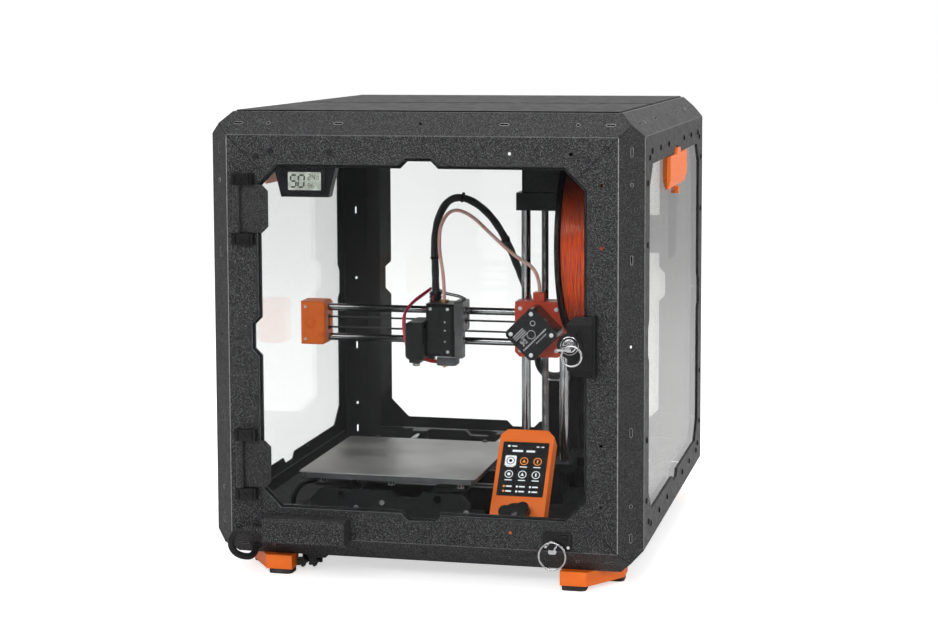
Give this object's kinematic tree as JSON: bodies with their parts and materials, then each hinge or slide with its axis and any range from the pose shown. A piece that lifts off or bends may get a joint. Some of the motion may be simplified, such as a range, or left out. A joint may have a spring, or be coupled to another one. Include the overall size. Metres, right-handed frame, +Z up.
{
  "type": "fdm printer",
  "caption": "Enclosed desktop filament printer: cantilever machine inside a folded-steel cabinet with clear windows, hinged locking door, spool and tilted control panel.",
  "frame": {"origin": "middle of the whole object's outline, on the surface that the foot pads stand on", "axes": "+X to the right of someone facing the door, -Y toward that person, +Z up"},
  "size_m": [0.435, 0.5354, 0.4602],
  "materials": {
    "black_coat": "black powder coat with fine texture and light speckle",
    "black_plate": "black anodised sheet",
    "orange_print": "3-D printed plastic with fine layer lines",
    "dark_print": "3-D printed black plastic with fine layer lines",
    "black_plastic": "moulded black plastic",
    "grey_plastic": "moulded translucent grey plastic",
    "clear_sheet": "clear acrylic sheet with polished edges",
    "cover_sheet": "satin black sheet",
    "rubber": "soft black rubber",
    "steel": "ground steel",
    "black_steel": "black oxide steel",
    "chrome": "bright chrome",
    "aluminium": "black anodised aluminium extrusion",
    "sheet_coat": "fine textured grey coat on spring steel",
    "bed_metal": "dark heated plate",
    "hotend_metal": "machined aluminium with a brass nozzle and fitting",
    "sleeve": "braided black sleeve",
    "ptfe": "milky translucent tube",
    "belt": "toothed rubber belt",
    "filament": "glossy orange filament"
  },
  "bodies": {
    "cabinet": {"front_posts": "black_coat", "front_rails": "black_coat", "back_frame": "black_coat", "side_rails": "black_coat", "windows": "clear_sheet", "top_covers": "cover_sheet", "floor_plate": "black_coat", "frame_screws": "black_steel", "side_handles": "orange_print", "door_seal": "black_plastic", "hinge_blocks": "black_plastic", "latch_plate": "black_plate", "hygrometer": "black_plastic", "connector_box": "dark_print", "power_cable": "rubber", "foot_brackets": "orange_print", "foot_pads": "rubber", "base_beams": "aluminium", "end_plates": "dark_print", "y_rods": "steel", "tower": "aluminium", "electronics_box": "dark_print", "z_rods": "steel", "z_top_block": "dark_print", "z_bottom_block": "dark_print", "display_housing": "orange_print", "bed_cable": "sleeve", "reel_holder": "dark_print"},
    "door": {"door_panel": "clear_sheet", "hinge_leaves": "black_coat", "lock_housing": "dark_print"},
    "lock": {"lock_plug": "chrome"},
    "key_ring_body": {"key_ring": "steel"},
    "pull_ring_body": {"pull_ring": "steel"},
    "bed": {"bed_sheet": "sheet_coat", "bed_plate": "bed_metal", "y_carriage": "black_plate"},
    "screw": {"leadscrew": "steel"},
    "gantry": {"z_carriage": "orange_print", "extruder_motor": "black_plate", "x_motor": "black_plate", "x_rods": "steel", "x_idler_end": "orange_print", "x_belt": "belt", "loom": "sleeve", "filament_tube": "ptfe", "gantry_cable": "sleeve"},
    "feed_gear": {"extruder_gear": "steel"},
    "belt_drive": {"drive_pulley": "steel"},
    "belt_idler": {"idler_pulley": "steel"},
    "head": {"print_carriage": "dark_print", "hotend": "hotend_metal", "fan_shroud": "dark_print", "blower": "grey_plastic", "probe": "black_plastic"},
    "fan_rotor": {"hotend_fan": "black_plastic"},
    "dial_shaft": {"knob_shaft": "steel"},
    "dial": {"knob": "dark_print"},
    "spool": {"reel": "black_plastic", "filament": "filament"}
  },
  "joints": [
    {"name": "door_swing", "type": "hinge", "parent": "cabinet", "child": "door", "pos_m": [-0.1815, -0.2285, 0.239], "axis": [0, 0, -1], "range_deg": [0, 110]},
    {"name": "lock_turn", "type": "hinge", "parent": "door", "child": "lock", "pos_m": [0.1498, -0.2242, 0.2425], "axis": [0, -1, 0], "range_deg": [0, 90]},
    {"name": "key_ring_swing", "type": "hinge", "parent": "lock", "child": "key_ring_body", "pos_m": [0.1551, -0.2597, 0.2425], "axis": [0, -1, 0], "range_deg": [-5, 60]},
    {"name": "pull_ring_swing", "type": "hinge", "parent": "cabinet", "child": "pull_ring_body", "pos_m": [0.131, -0.2294, 0.048], "axis": [0, 1, 0], "range_deg": [-60, 60]},
    {"name": "bed_slide", "type": "slide", "parent": "cabinet", "child": "bed", "axis": [0, 1, 0], "range_m": [-0.005, 0.175], "deforming": ["bed_cable"]},
    {"name": "gantry_lift", "type": "slide", "parent": "cabinet", "child": "gantry", "axis": [0, 0, 1], "range_m": [-0.08, 0.095], "deforming": ["gantry_cable"]},
    {"name": "screw_turn", "type": "hinge", "parent": "cabinet", "child": "screw", "pos_m": [0.067, 0.0611, 0.067], "axis": [0, 0, 1], "continuous": true},
    {"name": "head_slide", "type": "slide", "parent": "gantry", "child": "head", "axis": [1, 0, 0], "range_m": [-0.115, 0.046], "deforming": ["loom", "filament_tube"]},
    {"name": "idler_turn", "type": "hinge", "parent": "gantry", "child": "belt_idler", "pos_m": [-0.184, 0.0411, 0.2165], "axis": [0, 1, 0], "continuous": true},
    {"name": "drive_turn", "type": "hinge", "parent": "gantry", "child": "belt_drive", "pos_m": [0.077, 0.0411, 0.2165], "axis": [0, 1, 0], "continuous": true},
    {"name": "feed_turn", "type": "hinge", "parent": "gantry", "child": "feed_gear", "pos_m": [0.066, 0.0291, 0.2165], "axis": [0, 1, 0], "continuous": true},
    {"name": "fan_turn", "type": "hinge", "parent": "head", "child": "fan_rotor", "pos_m": [-0.0565, 0.0026, 0.207], "axis": [1, 0, 0], "continuous": true},
    {"name": "dial_press", "type": "slide", "parent": "cabinet", "child": "dial_shaft", "axis": [0, 0.788, -0.6157], "range_m": [0, 0.0006], "stiffness_N_per_m": 600},
    {"name": "dial_turn", "type": "hinge", "parent": "dial_shaft", "child": "dial", "pos_m": [0.0765, -0.13714, 0.04919], "axis": [0, -0.788, 0.6157], "continuous": true},
    {"name": "spool_turn", "type": "hinge", "parent": "cabinet", "child": "spool", "pos_m": [0.136, 0.0251, 0.316], "axis": [1, 0, 0], "continuous": true}
  ],
  "couplings": [
    {"joint": "screw_turn", "follows": "gantry_lift", "rad_per_m": 785.4},
    {"joint": "idler_turn", "follows": "head_slide", "rad_per_m": 173.91},
    {"joint": "drive_turn", "follows": "head_slide", "rad_per_m": 173.91}
  ]
}
